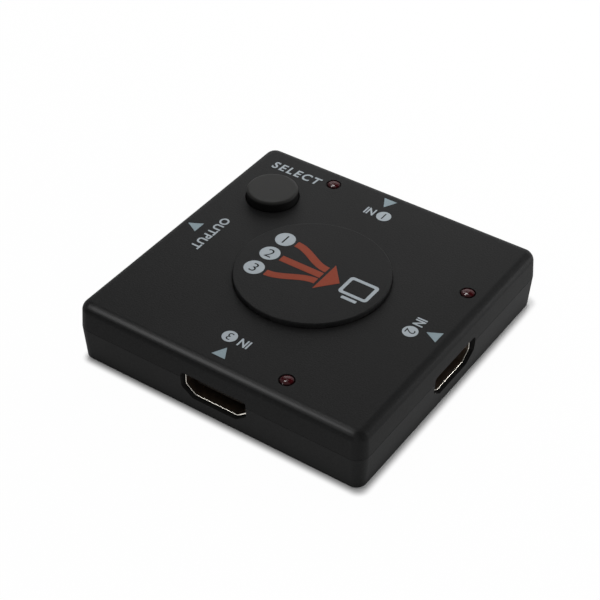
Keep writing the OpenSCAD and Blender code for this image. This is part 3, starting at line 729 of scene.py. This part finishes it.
def digit_loops(text, height):
    """The outlines of a digit as loops of points, centred on the origin at the given height."""
    holder = bpy.data.objects.new("digit", word_curve(text, 1.0, DIGIT_WEIGHT))
    bpy.context.scene.collection.objects.link(holder)
    drawn = holder.to_curve(bpy.context.evaluated_depsgraph_get())
    loops = []
    for spline in drawn.splines:
        knots = np.array([(*p.handle_left[:2], *p.co[:2], *p.handle_right[:2])
                          for p in spline.bezier_points])
        after = np.roll(knots, -1, 0)
        step = np.linspace(0.0, 1.0, DIGIT_STEPS, endpoint=False)[None, :, None]
        start, leave = knots[:, None, 2:4], knots[:, None, 4:6]
        arrive, end = after[:, None, 0:2], after[:, None, 2:4]
        bend = (1 - step) ** 3 * start + 3 * (1 - step) ** 2 * step * leave
        bend = bend + 3 * (1 - step) * step ** 2 * arrive + step ** 3 * end
        loops.append(bend.reshape(-1, 2))
    holder.to_curve_clear()
    bpy.data.objects.remove(holder)
    every = np.concatenate(loops)
    low, high = every.min(0), every.max(0)
    return [(loop - (low + high) / 2) * height / (high[1] - low[1]) for loop in loops]


blue_ink = ink("blue_ink", INK_BLUE, INK_BLUE_PALE)
word_ink = ink("word_ink", WORD_BLUE, WORD_BLUE_PALE)
triangle = np.array([(-TRIANGLE_W, TRIANGLE_H), (0.0, -TRIANGLE_H), (TRIANGLE_W, TRIANGLE_H)]) / 2
for number, turn, *middles in INPUT_MARKS:
    arrow_at, dot_at, word_at = np.array(middles) * MM
    dot = [ring(DOT_R)] + digit_loops(number, DIGIT_H)
    print_shape("arrow_input_" + number, [triangle], arrow_at, turn, TOP, blue_ink)
    print_shape("dot_input_" + number, dot, dot_at, turn, TOP, word_ink)
    print_word("word_input_" + number, "IN", IN_SIZE, word_at, turn)
print_shape("arrow_output", [triangle], OUTPUT_ARROW_AT, -QUARTER, TOP, blue_ink)
print_word("word_output", "OUTPUT", OUTPUT_SIZE, OUTPUT_AT, -QUARTER, 0.0, OUTPUT_SPACING)
print_word("word_select", "SELECT", SELECT_SIZE, SELECT_AT, 0.0, SELECT_SLANT, SELECT_SPACING)

# Raised disc
# A disc of the same black plastic, glued into its seat. Its face carries a two-colour routing sign:
# three numbered dots whose lines join and lead on to a screen.
ORANGE = (0.235, 0.0395, 0.016)
ORANGE_PALE = (0.295, 0.0495, 0.020)
DISC_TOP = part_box("badge_disc")[1].z
SIGN_DOT_R = 2.1 * MM
SIGN_DOT_X = -10.2 * MM
SIGN_DIGIT_H = 1.2 * SIGN_DOT_R
SIGN_ROWS = (5.4 * MM, 0.0, -5.4 * MM)
BAND_W = 1.7 * MM
BAND_FROM = -7.5 * MM
BAND_TO = 2.2 * MM
BAND_GATHER = 0.38
BAND_STEPS = 33
HEAD_FROM = 2.8 * MM
HEAD_TO = 6.4 * MM
HEAD_HALF = 4.2 * MM
SCREEN_AT = (10.5 * MM, 0.5 * MM)
SCREEN_W = 6.6 * MM
SCREEN_H = 5.4 * MM
SCREEN_LINE = 0.75 * MM
SCREEN_ROUND = 0.8 * MM
SCREEN_ROUND_IN = 0.3 * MM
FOOT_AT = (10.5 * MM, -3.1 * MM)
FOOT_W = 3.4 * MM
FOOT_H = 0.75 * MM
FOOT_ROUND = 0.2 * MM
MIDDLE = (0.0, 0.0)

disc_black = textured_black("disc_black", BLACK, BLACK_PALE, CASE_ROUGHNESS)
dress("badge_disc", disc_black)
orange_ink = ink("orange_ink", ORANGE, ORANGE_PALE)


def band_loop(start_y, end_y):
    """A band of even width round a half wave of cosine from one height to the other."""
    along = np.linspace(0.0, 1.0, BAND_STEPS)
    middle = np.stack([BAND_FROM + (BAND_TO - BAND_FROM) * along,
                       start_y + (end_y - start_y) * (1 - np.cos(math.pi * along)) / 2], 1)
    heading = np.gradient(middle, axis=0)
    heading /= np.linalg.norm(heading, axis=1, keepdims=True)
    aside = np.stack([-heading[:, 1], heading[:, 0]], 1) * BAND_W / 2
    return np.concatenate([middle + aside, (middle - aside)[::-1]])


def rounded_box(width, height, radius, count=8):
    """A rectangle with quarter-circle corners, as a loop of points round the origin."""
    turn = np.linspace(0.0, QUARTER, count)
    arc = np.stack([np.cos(turn), np.sin(turn)], 1) * radius + (width / 2 - radius, height / 2 - radius)
    swap = arc[::-1]
    return np.concatenate([arc, swap * (-1, 1), arc * (-1, -1), swap * (1, -1)])


for number, row in zip("123", SIGN_ROWS):
    dot = [ring(SIGN_DOT_R)] + digit_loops(number, SIGN_DIGIT_H)
    band = band_loop(row, row * BAND_GATHER)
    print_shape("sign_dot_" + number, dot, (SIGN_DOT_X, row), 0.0, DISC_TOP, word_ink)
    print_shape("sign_band_" + number, [band], MIDDLE, 0.0, DISC_TOP, orange_ink)
head = np.array([(HEAD_FROM, HEAD_HALF), (HEAD_FROM, -HEAD_HALF), (HEAD_TO, 0.0)])
screen = [rounded_box(SCREEN_W, SCREEN_H, SCREEN_ROUND),
          rounded_box(SCREEN_W - 2 * SCREEN_LINE, SCREEN_H - 2 * SCREEN_LINE, SCREEN_ROUND_IN)]
foot = rounded_box(FOOT_W, FOOT_H, FOOT_ROUND)
print_shape("sign_head", [head], MIDDLE, 0.0, DISC_TOP, orange_ink)
print_shape("sign_screen", screen, SCREEN_AT, 0.0, DISC_TOP, word_ink)
print_shape("sign_foot", [foot], FOOT_AT, 0.0, DISC_TOP, word_ink)

# Select button
# A round black button that slides in the lid and rests on the switch. Its face and rounded edge are
# satin, and its skirt is painted darker as shade.
SKIRT_PAINTED_SHADE = (0.0055, 0.0055, 0.0055)
SATIN = (0.0270, 0.0270, 0.0258)
SATIN_LEAST = 0.76
SATIN_DRIFT = 0.2
SATIN_PATCH = 5 * MM
SATIN_ROUGHNESS = 0.5
SATIN_UNEVEN = 0.08
SATIN_GLOSS = 0.05
SATIN_GRAIN = 0.12 * MM
SATIN_DEPTH = 0.002 * MM
BUTTON_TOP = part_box("select_button")[1].z
CROWN_FROM = BUTTON_TOP - 0.55 * MM
CROWN_TO = BUTTON_TOP - 0.1 * MM

satin_black, place = finish("satin_black")
_, _, height = parts(place)
film = grain(place, SATIN_PATCH)
# Painted shade: below the crown the colour darkens to the skirt's painted shade
unshaded_crown = ramp(height, CROWN_FROM, CROWN_TO)
surface(place, {
    "Base Color": shade(place, unshaded_crown * (SATIN_LEAST + film * SATIN_DRIFT), SKIRT_PAINTED_SHADE, SATIN),
    "Roughness": SATIN_ROUGHNESS + (film - 0.5) * SATIN_UNEVEN,
    "Specular IOR Level": SATIN_GLOSS,
    "Normal": relief(place, grain(place, SATIN_GRAIN), SATIN_DEPTH),
})
dress("select_button", satin_black)
